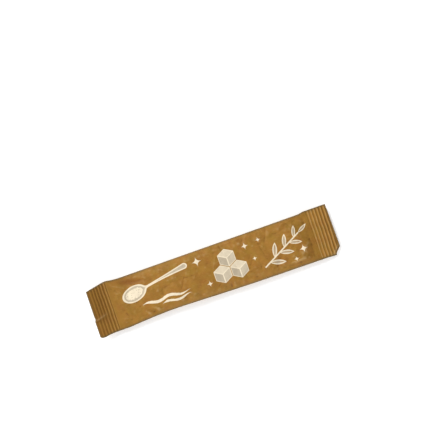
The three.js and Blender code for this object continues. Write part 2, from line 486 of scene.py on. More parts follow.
# Places of the points along the sachet, and across it all round the tube
def paperGrid():
    sealRows = round(seals["length"] / sheet["sealStep"])
    bodyRows = round(2 * rootX / sheet["bodyStep"])
    bentEnd = np.linspace(-halfLength, -rootX, sealRows, endpoint=False)
    body = np.linspace(-rootX, rootX, bodyRows + 1)
    rowsX = np.concatenate([bentEnd, body, -bentEnd[::-1]])
    seam = np.array([sheet["seamHalf"], sheet["seamHalf"] + sheet["seamStep"]]) / halfWidth
    columnsV = np.sort(np.concatenate([np.linspace(-1, 1, sheet["columns"] + 1), seam, -seam]))
    return rowsX, ringPlaces(columnsV), len(columnsV) - 1


# The settled paper, laid over the finer grid
def refine(settled, along, simColumns, rowsX, ringV, columns):
    simRing = (ringV + 1) / 2 * simColumns
    simRing[columns + 1:] = 2 * simColumns - simRing[columns + 1:]
    rowAt = (rowsX - along[0]) / (along[1] - along[0])
    fine = between(settled, np.clip(rowAt, 0, len(along) - 1))
    return between(fine.swapaxes(0, 1), simRing, wrap=True).swapaxes(0, 1)


# The two faces read the noise far apart, so that they differ
def crumpled(x, y, face):
    a, b, c = x / sheet["crumpleSize"], y / sheet["crumpleSize"], face * 3.7
    finer = noise.noise(Vector((a * sheet["finerBy"], b * sheet["finerBy"], c + 9)))
    return noise.noise(Vector((a, b, c))) + sheet["fineCrumple"] * finer


# Small height over the sugar: crumpled paper, creases, wrinkles, dents and tucks
def fineRelief(x, y, side):
    rough = [crumpled(*place) for place in zip(x.ravel(), y.ravel(), side.ravel())]
    rng = np.random.default_rng(sheet["seed"])
    upperFine, underFine = [randomFolds(rng, *wrinkles) + randomTucks(rng, *sealTucks) for face in range(2)]
    upperBroad, underBroad = [randomFolds(rng, *dents) for face in range(2)]
    broad, fine = sheet["creaseSharpness"], sheet["wrinkleSharpness"]
    upper = foldRelief(x, y, creases + upperBroad, broad) + foldRelief(x, y, upperFine, fine)
    under = foldRelief(x, y, underBroad, broad) + foldRelief(x, y, underFine, fine)
    folded = np.where(side > 0, upper, under) * np.abs(side)
    return sheet["crumple"] * np.array(rough).reshape(x.shape) + folded


# The printed face never sinks into the back
def keepApart(z, columns):
    upper, back = z[:, 1:columns], z[:, :columns:-1]
    short = np.maximum(seals["thickness"] - (upper - back), 0) / 2
    upper += short
    back -= short


# The underside lies flat on the table, on its back seam
def pressFlat(z, v):
    lift = sheet["seamThickness"]
    soft = pillow["tableSoftness"]
    pressed = lift + (z - lift + np.sqrt((z - lift) ** 2 + soft**2)) / 2 - soft / 8
    onSeam = 1 - ramp(np.abs(v) * halfWidth, sheet["seamHalf"], sheet["seamHalf"] + sheet["seamStep"])
    return pressed - lift * onSeam


def sachetPoints(settled, along, simColumns):
    rowsX, ringV, columns = paperGrid()
    fine = refine(settled, along, simColumns, rowsX, ringV, columns)
    x = np.broadcast_to(rowsX[:, None], fine.shape[:2])
    v = np.broadcast_to(ringV, x.shape)
    side = np.broadcast_to(ringSides(columns), x.shape)
    inSeal = np.abs(x) > rootX
    reach = round(sheet["smoothReach"] / sheet["bodyStep"])

    # Across, the settled paper fits between the side folds
    simUpper = smoothed(fine[:, columns, 1], reach)
    simLower = smoothed(fine[:, 0, 1], reach)
    upper = smoothLine(upperEdge, rowsX)
    lower = -smoothLine(lowerEdge, rowsX)
    share = (fine[:, :, 1] - simLower[:, None]) / (simUpper - simLower)[:, None]
    share = np.where(inSeal, (v + 1) / 2, share)
    y = lower[:, None] + share * (upper - lower)[:, None]

    # Upwards, it is as full as wanted
    third = columns // 3
    simRise = smoothed(fine[:, third:columns - third, 2].mean(axis=1), reach)
    rise = seals["thickness"] / 2 + swell(rowsX) * bySlack(rowsX, "fullRise", "slackRise")
    fuller = np.clip(rise / simRise, *sheet["fullerLimits"])[:, None]
    thick = np.where(inSeal, side * seals["thickness"] / 2, fine[:, :, 2] * fuller)
    middle = blend(seals["rootHeight"], bySlack(x, "fullSide", "slackSide"), swell(x))
    ribs = seals["ribDepth"] * (alongSeal(x, "Depth") * ribWave(x, v) - 0.5 * inSeal)
    drop = sealDrop(x, y)
    z = middle + ribs - drop - earDrop(x, y) + thick
    z = z + side * fineRelief(x, y, side) * offSeals(x)
    keepApart(z, columns)
    z = np.where(side < 0, pressFlat(z, v), z)

    # Where the bent seal climbs, the same length of paper reaches less far
    dx = np.where(inSeal, 0, fine[:, :, 0] - x)
    run = np.diff(rowsX)[:, None]
    steep = np.clip(np.diff(drop, axis=0) / run, -seals["steepest"], seals["steepest"])
    steep = steep * (rowsX[1:, None] <= -rootX + hair)
    lost = run * (1 - np.sqrt(1 - steep**2))
    dx[:-1] += np.cumsum(lost[::-1], axis=0)[::-1]
    return np.stack([x + dx, y, z], axis=-1), rowsX, ringV, columns


# The square map for baking, in shares of its side: the printed face's halves, the back, the cuts, the flap
bakeMap = {
    "margin": 0.006,
    "leftHalf": 0.63,              # lower edges of the printed face's halves, and their height
    "rightHalf": 0.25,
    "halfHeight": 0.36,
    "back": 0.01,
    "backWidth": 0.93,
    "backHeight": 0.21,
    "cuts": 0.232,
    "cutWidth": 0.49,
    "cutHeight": 0.006,
    "flap": (0.945, 0.02),
    "flapSize": (0.045, 0.09),
    "flapStep": 0.1,               # from its lower face to its upper one
}


# Flat places on the paper in millimetres, the back shifted aside, and the map for baking
def layFlat(mesh, quads, caps, flapFaces, everyPoint, rowsX, ringV, columns):
    around = 2 * columns
    corners = np.concatenate([np.ravel(quads), np.concatenate(caps)])
    row, ring = corners // around, corners % around
    first = np.repeat(np.array(quads)[:, 0], 4)
    capRing, capRow = ring[len(first):], row[len(first):]
    back = np.concatenate([first % around >= columns, capRing > columns])
    right = np.concatenate([rowsX[first // around] > -hair, capRow > 0])
    isCap = np.arange(len(corners)) >= len(first)
    x = rowsX[row]
    y = ringV[ring] * halfWidth
    flap = everyPoint[np.concatenate(flapFaces)]
    flat = np.stack([x, np.where(back, y + sheet["backShift"], y)], axis=-1)
    flat = np.concatenate([flat, flap[:, :2]])
    mesh.uv_layers.new(name="paperFlat").data.foreach_set("uv", flat.astype(np.float32).ravel())

    along = (x + halfLength) / (2 * halfLength)
    up = (y / halfWidth + 1) / 2
    half = np.where(right, bakeMap["rightHalf"], bakeMap["leftHalf"]) + bakeMap["halfHeight"] * up
    u = np.where(back, bakeMap["backWidth"] * along, np.clip(2 * along - right, 0, 1))
    v = np.where(back, bakeMap["back"] + bakeMap["backHeight"] * up, half)
    u = np.where(isCap, 0.5 * right + bakeMap["cutWidth"] * up, u)
    v = np.where(isCap, bakeMap["cuts"] + bakeMap["cutHeight"] * ~back, v)
    u = bakeMap["margin"] + (1 - 2 * bakeMap["margin"]) * u
    low, high = flap.min(axis=0), flap.max(axis=0)
    share = (flap - low) / (high - low)
    onFlap = np.array(bakeMap["flap"]) + np.array(bakeMap["flapSize"]) * share[:, :2]
    onFlap[:, 1] += bakeMap["flapStep"] * (share[:, 2] > 0.5)
    baked = np.concatenate([np.stack([u, v], axis=-1), onFlap])
    mesh.uv_layers.new(name="OFBake").data.foreach_set("uv", baked.astype(np.float32).ravel())


# Painted shade and highlights: reaches in millimetres, and how strong they are
paintedShading = {
    "foldShade": (0.1, 1.2),         # painted shade along the side folds: full until, and gone from
    "cutShade": 0.7,                # and along the cuts: gone from
    "bentShade": 0.5,              # shade that fades in from the -X cut
    "bentShadeReach": 9,
    "rootShade": 0.2,              # shade beside the root of the +X seal
    "rootShadeReach": 2.6,
    "fullRelief": 0.12,            # height over the surroundings that counts as a full crest
    "reliefPasses": 6,             # how widely those surroundings are taken
    "reliefFrom": (0.8, 2),        # distances from the side folds between which it comes to count
    "ribFade": 0.3,
    "fullHollow": 0.8,             # depth of a soft fold that is shaded in full
    "earLine": (0.85, 0.4),        # painted highlight beside the ear's fold: distance and half width
    "creaseLine": (-0.5, 0.35),    # and beside the crease of the -X seal
    "creaseLineFrom": (2, 6),      # distances from its root between which that line fades in
}


# How far each point stands out of its surroundings, on its own face
def standsOut(points, columns):
    height = points[:, :, 2].copy()
    height[:, columns + 1:] *= -1
    around = height
    for k in range(paintedShading["reliefPasses"]):
        wide = np.pad(around, ((1, 1), (0, 0)), mode="edge")
        around = (wide[:-2] + 2 * around + wide[2:]) / 4
        around = (np.roll(around, 1, axis=1) + 2 * around + np.roll(around, -1, axis=1)) / 4
    return height - around


# A value for each point of the tube, and 0 on the flap
def paint(mesh, name, values):
    everyValue = np.zeros(len(mesh.vertices), np.float32)
    everyValue[:values.size] = values.ravel()
    mesh.attributes.new(name, "FLOAT", "POINT").data.foreach_set("value", everyValue)


# A soft line at a distance, 1 in its middle
def line(distance, place, width):
    return np.exp(-((distance - place) / width) ** 2)


def paintLightAndShade(mesh, points, rowsX, ringV, columns):
    x, y = points[:, :, 0], points[:, :, 1]
    flatX = np.broadcast_to(rowsX[:, None], x.shape)
    fromFold = (1 - np.abs(ringV)) * halfWidth
    fromCut = halfLength - np.abs(flatX)
    onTop = (np.arange(2 * columns) <= columns)[None, :]
    # Painted shade along the side folds and the cuts
    nearFold = 1 - ramp(fromFold, *paintedShading["foldShade"])
    nearCut = 1 - ramp(fromCut, 0, paintedShading["cutShade"])
    paint(mesh, "edgeShade", np.maximum(nearFold, nearCut))
    bentEnd = paintedShading["bentShade"] * np.exp(-(flatX + halfLength) / paintedShading["bentShadeReach"])
    besideRoot = line(flatX - rootX, -paintedShading["rootShadeReach"], paintedShading["rootShadeReach"])
    paint(mesh, "sealShade", bentEnd + paintedShading["rootShade"] * besideRoot)
    # Painted highlight on crests and painted shade in troughs, of the ribs and of the wrinkles, partly
    # rubbed ink
    crest = 2 * ribWave(flatX, ringV) - 1
    crest = crest * np.where(crest > 0, alongSeal(flatX, "Crest"), alongSeal(flatX, "Trough"))
    fade = paintedShading["ribFade"]
    inSeal = ramp(np.abs(flatX), rootX, rootX + fade) * ramp(fromCut, fade, 2 * fade)
    uneven = np.clip(standsOut(points, columns) / paintedShading["fullRelief"], -1, 1)
    uneven = uneven * ramp(fromFold, *paintedShading["reliefFrom"])
    paint(mesh, "relief", blend(uneven, crest, inSeal))
    # Painted highlight beside the ear's fold and the crease of the -X seal, partly rubbed ink
    besideEar = line(fromEarFold(x, y), *paintedShading["earLine"])
    besideCrease = line(fromCrease(flatX, y), *paintedShading["creaseLine"])
    besideCrease = besideCrease * ramp(-flatX - rootX, *paintedShading["creaseLineFrom"])
    paint(mesh, "creaseHighlight", np.maximum(besideEar, besideCrease) * onTop)
    # Painted shade in the hollows of the soft folds
    paint(mesh, "hollow", np.clip(-foldRelief(flatX, y, folds) / paintedShading["fullHollow"], 0, 1) * onTop)


# The cuts are crisp rims: the first and the last ring of the tube
def sharpenCuts(mesh, tubeCount, around):
    ends = np.zeros(len(mesh.vertices), bool)
    ends[:around] = ends[tubeCount - around:tubeCount] = True
    pairs = np.zeros(2 * len(mesh.edges), np.int32)
    mesh.edges.foreach_get("vertices", pairs)
    mesh.edges.foreach_set("use_edge_sharp", ends[pairs.reshape(-1, 2)].all(axis=1))


def makeSachet():
    settled, along, simColumns = simulateTube()
    print("paper tube settled, fullest half height", round(float(settled[:, :, 2].max()), 2), "mm")
    points, rowsX, ringV, columns = sachetPoints(settled, along, simColumns)
    quads, caps = tubeFaces(len(rowsX), columns)
    flapPoints, flapFaces = cornerFlap()
    tubeCount = len(rowsX) * 2 * columns
    everyPoint = np.concatenate([points.reshape(-1, 3), flapPoints])
    everyPoint[:, 2] -= everyPoint[:, 2].min()
    flapFaces = [[tubeCount + k for k in face] for face in flapFaces]
    mesh = bpy.data.meshes.new("sachet")
    mesh.from_pydata((everyPoint * mm).tolist(), [], quads + caps + flapFaces)
    mesh.polygons.foreach_set("use_smooth", np.ones(len(mesh.polygons), bool))
    slots = np.zeros(len(mesh.polygons), np.int32)
    slots[len(quads):len(quads) + len(caps)] = 1
    mesh.polygons.foreach_set("material_index", slots)
    layFlat(mesh, quads, caps, flapFaces, everyPoint, rowsX, ringV, columns)
    paintLightAndShade(mesh, points, rowsX, ringV, columns)
    sharpenCuts(mesh, tubeCount, 2 * columns)
    made = bpy.data.objects.new("sachet", mesh)
    bpy.context.scene.collection.objects.link(made)
    print("sachet made,", len(mesh.polygons), "faces")
    return made


sachet = makeSachet()


# Node helpers: a value is either a socket to link or a plain number
def feed(tree, value, socket):
    if isinstance(value, bpy.types.NodeSocket):
        tree.links.new(value, socket)
    else:
        socket.default_value = value


def calc(tree, operation, *values, clamp=False):
    node = tree.nodes.new("ShaderNodeMath")
    node.operation = operation
    node.use_clamp = clamp
    for value, socket in zip(values, node.inputs):
        feed(tree, value, socket)
    return node.outputs[0]


def vector(tree, operation, *values):
    node = tree.nodes.new("ShaderNodeVectorMath")
    node.operation = operation
    for value, socket in zip(values, node.inputs):
        feed(tree, value, socket)
    return node.outputs["Value" if operation in ("DOT_PRODUCT", "LENGTH") else "Vector"]


def spread(tree, value, fromLow, fromHigh, low=0.0, high=1.0, kind="SMOOTHSTEP"):
    node = tree.nodes.new("ShaderNodeMapRange")
    node.interpolation_type = kind
    for item, socket in zip((value, fromLow, fromHigh, low, high), node.inputs):
        feed(tree, item, socket)
    return node.outputs[0]


# 1 inside a shape and 0 outside it, from the distance to its edge
def inside(tree, distance, blur=0.05):
    return spread(tree, distance, -blur, blur, 1.0, 0.0)


def mixValue(tree, below, above, amount):
    node = tree.nodes.new("ShaderNodeMix")
    for value, socket in ((amount, 0), (below, 2), (above, 3)):
        feed(tree, value, node.inputs[socket])
    return node.outputs[0]


def mixColour(tree, below, above, amount):
    node = tree.nodes.new("ShaderNodeMix")
    node.data_type = "RGBA"
    for value, socket in ((amount, 0), (below, 6), (above, 7)):
        feed(tree, value, node.inputs[socket])
    return node.outputs[2]


def cloudy(tree, place, scale, detail=2.0, rough=0.5):
    node = tree.nodes.new("ShaderNodeTexNoise")
    for name, value in (("Vector", place), ("Scale", scale), ("Detail", detail), ("Roughness", rough)):
        feed(tree, value, node.inputs[name])
    return node.outputs[0]


def joinPlace(tree, x, y):
    node = tree.nodes.new("ShaderNodeCombineXYZ")
    feed(tree, x, node.inputs[0])
    feed(tree, y, node.inputs[1])
    return node.outputs[0]


def splitPlace(tree, place):
    node = tree.nodes.new("ShaderNodeSeparateXYZ")
    feed(tree, place, node.inputs[0])
    return node.outputs[0], node.outputs[1]


def newGroup(name, inputs, outputs):
    tree = bpy.data.node_groups.new(name, "ShaderNodeTree")
    for label in inputs:
        kind = "NodeSocketVector" if label == "Place" else "NodeSocketFloat"
        tree.interface.new_socket(label, in_out="INPUT", socket_type=kind)
    for label in outputs:
        tree.interface.new_socket(label, in_out="OUTPUT", socket_type="NodeSocketFloat")
    return tree, tree.nodes.new("NodeGroupInput").outputs, tree.nodes.new("NodeGroupOutput").inputs


def useGroup(tree, group, **values):
    node = tree.nodes.new("ShaderNodeGroup")
    node.node_tree = group
    for name, value in values.items():
        feed(tree, value, node.inputs[name])
    return node.outputs


# Place as seen from a motif: its centre, its turn in degrees and its size
def localPlace(tree, place, centre, turn=0.0, size=1.0):
    moved = vector(tree, "SUBTRACT", place, (*centre, 0))
    c, s = math.cos(math.radians(turn)) / size, math.sin(math.radians(turn)) / size
    return joinPlace(tree, vector(tree, "DOT_PRODUCT", moved, (c, s, 0)),
                     vector(tree, "DOT_PRODUCT", moved, (-s, c, 0)))


# One motif laid over what is printed already: how much ink, and how grey it is
def printOver(tree, below, above):
    return calc(tree, "MAXIMUM", below[0], above[0]), mixValue(tree, below[1], above[1], above[0])


def largest(tree, values):
    most = values[0]
    for value in values[1:]:
        most = calc(tree, "MAXIMUM", most, value)
    return most


# A sugar cube seen from a corner, one edge long: pale lines, three faces in three greys
def cubeMotif():
    tree, given, out = newGroup("sugarCube", ["Place"], ["Ink", "Shade"])
    place = given["Place"]
    blur = 0.015
    faceHalf = 0.435
    third = 1 / math.sqrt(3)
    faces = [((third, 1), (-third, 1), 0.35),
             ((-2 * third, 0), (-third, -1), 1.0),
             ((2 * third, 0), (third, -1), 0.7)]

    # The outline is a hexagon, as far as its three directions reach
    reaches = []
    for turn in (0, 60, 120):
        direction = (math.cos(math.radians(turn)), math.sin(math.radians(turn)), 0)
        reaches.append(calc(tree, "ABSOLUTE", vector(tree, "DOT_PRODUCT", place, direction)))
    reach = largest(tree, reaches)
    feed(tree, inside(tree, calc(tree, "SUBTRACT", reach, math.cos(math.pi / 6)), blur), out["Ink"])
    shade = 0.0
    for *axes, grey in faces:
        shares = [vector(tree, "DOT_PRODUCT", place, (*axis, 0)) for axis in axes]
        offMiddle = [calc(tree, "SUBTRACT", share, 0.5) for share in shares]
        reach = largest(tree, [calc(tree, "ABSOLUTE", off) for off in offMiddle])
        face = inside(tree, calc(tree, "SUBTRACT", reach, faceHalf), blur)
        shade = calc(tree, "MULTIPLY_ADD", face, grey, shade)
    feed(tree, shade, out["Shade"])
    return tree


# Sizes as shares of a leaf's length
leafShape = {
    "half": 0.15,
    "rim": 0.055,                  # pale rim round a grey inside
    "grey": 0.8,
    "blur": 0.012,
    "veinHalf": 0.022,
    "veinStart": (0.1, 0.16),      # where the vein fades in, and where it fades out
    "veinEnd": (0.86, 0.78),
    "veinBlur": 0.01,
}


# A leaf from 0 to 1 along X, between two arcs, with a bare line down its middle
def leafMotif():
    tree, given, out = newGroup("caneLeaf", ["Place"], ["Ink", "Shade"])
    half, blur = leafShape["half"], leafShape["blur"]
    radius = (0.25 + half * half) / (2 * half)
    x, y = splitPlace(tree, given["Place"])
    offMiddle = calc(tree, "ABSOLUTE", y)
    fromCentre = joinPlace(tree, calc(tree, "SUBTRACT", x, 0.5),
                           calc(tree, "ADD", offMiddle, radius - half))
    distance = calc(tree, "SUBTRACT", vector(tree, "LENGTH", fromCentre), radius)
    vein = inside(tree, calc(tree, "SUBTRACT", offMiddle, leafShape["veinHalf"]), leafShape["veinBlur"])
    for end in ("veinStart", "veinEnd"):
        vein = calc(tree, "MULTIPLY", vein, spread(tree, x, *leafShape[end]))
    feed(tree, calc(tree, "SUBTRACT", inside(tree, distance, blur), vein, clamp=True), out["Ink"])
    inner = inside(tree, calc(tree, "ADD", distance, leafShape["rim"]), blur)
    feed(tree, calc(tree, "MULTIPLY", inner, leafShape["grey"]), out["Shade"])
    return tree


# A four-pointed glint, 1 from its middle to its points
def glintMotif():
    tree, given, out = newGroup("glint", ["Place"], ["Ink", "Shade"])
    x, y = splitPlace(tree, given["Place"])
    arms = [calc(tree, "SQRT", calc(tree, "ABSOLUTE", part)) for part in (x, y)]
    feed(tree, inside(tree, calc(tree, "SUBTRACT", calc(tree, "ADD", *arms), 1.0)), out["Ink"])
    out["Shade"].default_value = 0.0
    return tree


spoonShape = {
    "bowl": (4.7, 3.1),            # half length and half width, in millimetres
    "heap": (3.5, 2.0),            # the sugar in it
    "handle": (4.0, 20.5),         # where it starts and ends
    "handleHalf": 0.42,            # half thickness at its start, and what it gains up to its end
    "handleGain": 0.75,
    "neck": 1.2,                   # roundness between bowl and handle
    "rim": 0.45,
    "hollowGrey": 0.9,
    "heapNoise": 1.1,              # unevenness of the heap's edge: scale, amount and least size
    "heapUneven": 0.6,
    "heapLeast": 0.65,
    "grainScale": 1.5,
    "grainSize": 0.24,
    "grainGrey": 0.7,
}


# A teaspoon from above: the bowl round the origin, the handle along X, sugar in the bowl
def spoonMotif():
    tree, given, out = newGroup("teaspoon", ["Place"], ["Ink", "Shade"])
    place = given["Place"]
    x, y = splitPlace(tree, place)
    bowlLength, bowlWidth = spoonShape["bowl"]
    bowl = vector(tree, "LENGTH", vector(tree, "MULTIPLY", place, (1 / bowlLength, 1 / bowlWidth, 0)))
    bowl = calc(tree, "MULTIPLY", calc(tree, "SUBTRACT", bowl, 1.0), bowlWidth)
    start, end = spoonShape["handle"]
    share = spread(tree, x, start, end, kind="LINEAR")
    nearest = calc(tree, "MULTIPLY_ADD", share, end - start, start)
    fromHandle = joinPlace(tree, calc(tree, "SUBTRACT", x, nearest), y)
    gained = calc(tree, "MULTIPLY", share, share)
    thick = calc(tree, "MULTIPLY_ADD", gained, spoonShape["handleGain"], spoonShape["handleHalf"])
    handle = calc(tree, "SUBTRACT", vector(tree, "LENGTH", fromHandle), thick)
    distance = calc(tree, "SMOOTH_MIN", bowl, handle, spoonShape["neck"])
    heapLength, heapWidth = spoonShape["heap"]
    heap = vector(tree, "LENGTH", vector(tree, "MULTIPLY", place, (1 / heapLength, 1 / heapWidth, 0)))
    uneven = cloudy(tree, place, spoonShape["heapNoise"])
    uneven = calc(tree, "MULTIPLY_ADD", uneven, spoonShape["heapUneven"], spoonShape["heapLeast"])
    heap = inside(tree, calc(tree, "SUBTRACT", heap, uneven), 0.03)
    grains = tree.nodes.new("ShaderNodeTexVoronoi")
    feed(tree, place, grains.inputs["Vector"])
    grains.inputs["Scale"].default_value = spoonShape["grainScale"]
    grains = inside(tree, calc(tree, "SUBTRACT", grains.outputs["Distance"], spoonShape["grainSize"]), 0.06)
    hollow = inside(tree, calc(tree, "ADD", distance, spoonShape["rim"]))
    hollow = calc(tree, "MULTIPLY", hollow, spoonShape["hollowGrey"])
    sugar = calc(tree, "MULTIPLY", grains, spoonShape["grainGrey"])
    feed(tree, inside(tree, distance), out["Ink"])
    feed(tree, mixValue(tree, hollow, sugar, heap), out["Shade"])
    return tree


strokeShape = {
    "waveRate": 0.62,
    "waveHeight": 0.55,
    "startTaper": (0.0, 0.22),     # shares of its length over which it thins out
    "endTaper": (1.0, 0.62),
    "bristles": (0.9, 3.5, 1),     # how the roughness is stretched along the stroke
    "roughness": 0.5,
}


# A wavy brush stroke along X, with thin rough ends
def strokeMotif():
    tree, given, out = newGroup("brushStroke", ["Place", "Length", "Thickness"], ["Ink", "Shade"])
    x, y = splitPlace(tree, given["Place"])
    share = calc(tree, "DIVIDE", x, given["Length"])
    wave = calc(tree, "SINE", calc(tree, "MULTIPLY", x, strokeShape["waveRate"]))
    wave = calc(tree, "MULTIPLY", wave, strokeShape["waveHeight"])
    off = calc(tree, "ABSOLUTE", calc(tree, "SUBTRACT", y, wave))
    taper = calc(tree, "MULTIPLY", spread(tree, share, *strokeShape["startTaper"]),
                 spread(tree, share, *strokeShape["endTaper"]))
    thick = calc(tree, "MULTIPLY", calc(tree, "MULTIPLY", taper, given["Thickness"]), 0.5)
    bristles = vector(tree, "MULTIPLY", given["Place"], strokeShape["bristles"])
    rough = calc(tree, "SUBTRACT", cloudy(tree, bristles, 1.0, 3.0, 0.6), 0.5)
    rough = calc(tree, "MULTIPLY", rough, strokeShape["roughness"])
    distance = calc(tree, "ADD", calc(tree, "SUBTRACT", off, thick), calc(tree, "MULTIPLY", rough, taper))
    feed(tree, calc(tree, "MULTIPLY", inside(tree, distance), spread(tree, taper, 0.0, 0.1)), out["Ink"])
    out["Shade"].default_value = 0.0
    return tree


# The print: places on the flat paper in millimetres, from the middle of the printed face
printed = {
    "spoon": {"centre": (-34.6, 1.9), "turn": 10.0, "size": 1.16},
    "strokes": [((-33.5, -4.6), -1.0, 23.0, 1.3), ((-25.0, -7.2), 2.0, 14.0, 1.0)],
    "cubes": [(6.9, 3.3), (3.2, -3.1), (10.6, -3.1)],
    "cubeEdge": 4.1,
    "stem": {"base": (21.0, -6.4), "turn": 29.0, "length": 20.5, "thickness": 0.6},
    "leaves": 7,
    "leafLength": 7.2,
    "leafShrink": 0.3,             # how much shorter the last leaf is
    "leafSwing": 44,               # degrees off the stem, the last leaf excepted
    "glints": [((-5.6, 5.9), 2.4), ((-3.2, -5.4), 1.6), ((15.6, 5.6), 1.8), ((18.0, -1.0), 1.2),
               ((21.8, 6.4), 1.3), ((38.8, -3.9), 2.1), ((34.6, -7.2), 1.3)],
}


def leafyStem(tree, place, layers):
    stem = printed["stem"]
    half = stem["length"] / 2
    x, y = splitPlace(tree, localPlace(tree, place, stem["base"], stem["turn"]))
    reach = calc(tree, "SUBTRACT", calc(tree, "ABSOLUTE", y), stem["thickness"] / 2)
    ends = calc(tree, "SUBTRACT", calc(tree, "ABSOLUTE", calc(tree, "SUBTRACT", x, half)), half)
    layers = printOver(tree, layers, (inside(tree, calc(tree, "MAXIMUM", reach, ends)), 0.0))
    aim = Vector((math.cos(math.radians(stem["turn"])), math.sin(math.radians(stem["turn"]))))
    leaf = leafMotif()
    for k in range(printed["leaves"]):
        share = (k + 1) / printed["leaves"]
        foot = Vector(stem["base"]) + aim * stem["length"] * share
        swing = printed["leafSwing"] * (1 if k % 2 else -1)
        if k == printed["leaves"] - 1:
            swing = 0
        size = printed["leafLength"] * (1 - printed["leafShrink"] * share)
        own = localPlace(tree, place, foot, stem["turn"] + swing, size)
        layers = printOver(tree, layers, useGroup(tree, leaf, Place=own))
    return layers


def frontPrint():
    tree, given, out = newGroup("frontPrint", ["Place"], ["Ink", "Shade"])
    place = given["Place"]
    cube, glint, stroke = cubeMotif(), glintMotif(), strokeMotif()
    spot = printed["spoon"]
    own = localPlace(tree, place, spot["centre"], spot["turn"], spot["size"])
    layers = useGroup(tree, spoonMotif(), Place=own)
    for centre, turn, length, thick in printed["strokes"]:
        own = localPlace(tree, place, centre, turn)
        layers = printOver(tree, layers, useGroup(tree, stroke, Place=own, Length=length, Thickness=thick))
    for centre in printed["cubes"]:
        own = localPlace(tree, place, centre, 0, printed["cubeEdge"])
        layers = printOver(tree, layers, useGroup(tree, cube, Place=own))
    layers = leafyStem(tree, place, layers)
    for centre, size in printed["glints"]:
        own = localPlace(tree, place, centre, 0, size)
        layers = printOver(tree, layers, useGroup(tree, glint, Place=own))
    feed(tree, layers[0], out["Ink"])
    feed(tree, layers[1], out["Shade"])
    return tree


# Noise of the paper fibres: scale, detail, roughness
fibreNoise = {
    "mottle": (0.2, 5.0, 0.65),
    "warmth": (0.28, 4.0, 0.6),
    "streak": (1.0, 3.0, 0.6),
    "grain": (7.0, 3.0, 0.6),
    "fleck": (1.6, 1.0, 0.5),
    "streakStretch": (0.5, 3.2, 1),
    "fleckStretch": (1.2, 4.0, 1),
    "mottleRange": (0.3, 0.7),     # parts of the noise that are spread from 0 to 1
    "warmthRange": (0.25, 0.75),
    "fleckRange": (0.7, 0.78),
    "streakHeight": 0.6,           # beside the grain's
}


# Slow mottling, warm and cool patches, fine streaks along the sachet, dark flecks, and the fibres' height
def paperFibres():
    tree, given, out = newGroup("paperFibres", ["Place"], ["Mottle", "Warmth", "Streak", "Fleck", "Height"])
    place = given["Place"]
    aside = vector(tree, "ADD", place, (31, 17, 5))
    mottle = cloudy(tree, place, *fibreNoise["mottle"])
    warmth = cloudy(tree, aside, *fibreNoise["warmth"])
    stretched = vector(tree, "MULTIPLY", place, fibreNoise["streakStretch"])
    streak = cloudy(tree, stretched, *fibreNoise["streak"])
    grain = cloudy(tree, place, *fibreNoise["grain"])
    stretched = vector(tree, "MULTIPLY", place, fibreNoise["fleckStretch"])
    flecks = cloudy(tree, stretched, *fibreNoise["fleck"])
    feed(tree, spread(tree, mottle, *fibreNoise["mottleRange"]), out["Mottle"])
    feed(tree, spread(tree, warmth, *fibreNoise["warmthRange"]), out["Warmth"])
    feed(tree, streak, out["Streak"])
    feed(tree, spread(tree, flecks, *fibreNoise["fleckRange"]), out["Fleck"])
    feed(tree, calc(tree, "MULTIPLY_ADD", streak, fibreNoise["streakHeight"], grain), out["Height"])
    return tree


# Colours, and how strongly the later ones lie over the brown
paperFinish = {
    "brown": (0.345, 0.167, 0.022),
    "darkBrown": (0.225, 0.098, 0.011),
    "paleBrown": (0.37, 0.195, 0.045),
    "cream": (0.8, 0.695, 0.515),
    "greyCream": (0.455, 0.387, 0.282),
    "orangeBrown": (0.335, 0.135, 0.024),
    "oliveBrown": (0.28, 0.163, 0.018),
    "wearAndHighlight": (0.45, 0.282, 0.112),
    "hollow": (0.265, 0.102, 0.016),
    "trough": (0.18, 0.08, 0.01),
    "cutCoreAndShade": (0.13, 0.088, 0.03),
    "leastBrown": 0.15,            # of the brown in its darkest mottling
    "hueAmount": 0.5,
    "streakAmount": 0.45,
    "fleckAmount": 0.5,
    "crestAmount": 0.6,
    "troughAmount": 0.9,
    "hollowAmount": 0.8,
    "creaseAmount": 0.5,
    "edgeAmount": 0.85,
    "inkStreakAmount": 0.35,
    "inkAmount": 0.97,
    "roughness": (0.55, 0.7),
    "cutRoughness": 0.8,
    "sheen": 0.2,
    "fibreHeight": 0.00004,        # metres, and of the cut edge
    "cutFibreHeight": 0.00003,
}


def solid(name):
    return (*paperFinish[name], 1)


def newMaterial(name):
    material = bpy.data.materials.new(name)
    material.use_nodes = True
    return material, material.node_tree, material.node_tree.nodes["Principled BSDF"].inputs


def paperPlace(tree):
    node = tree.nodes.new("ShaderNodeUVMap")
    node.uv_map = "paperFlat"
    return node.outputs[0]


def painted(tree, name):
    node = tree.nodes.new("ShaderNodeAttribute")
    node.attribute_name = name
    return node.outputs["Fac"]


def bump(tree, height, strength, distance):
    node = tree.nodes.new("ShaderNodeBump")
    node.inputs["Strength"].default_value = strength
    node.inputs["Distance"].default_value = distance
    feed(tree, height, node.inputs["Height"])
    return node.outputs[0]


fibres = paperFibres()


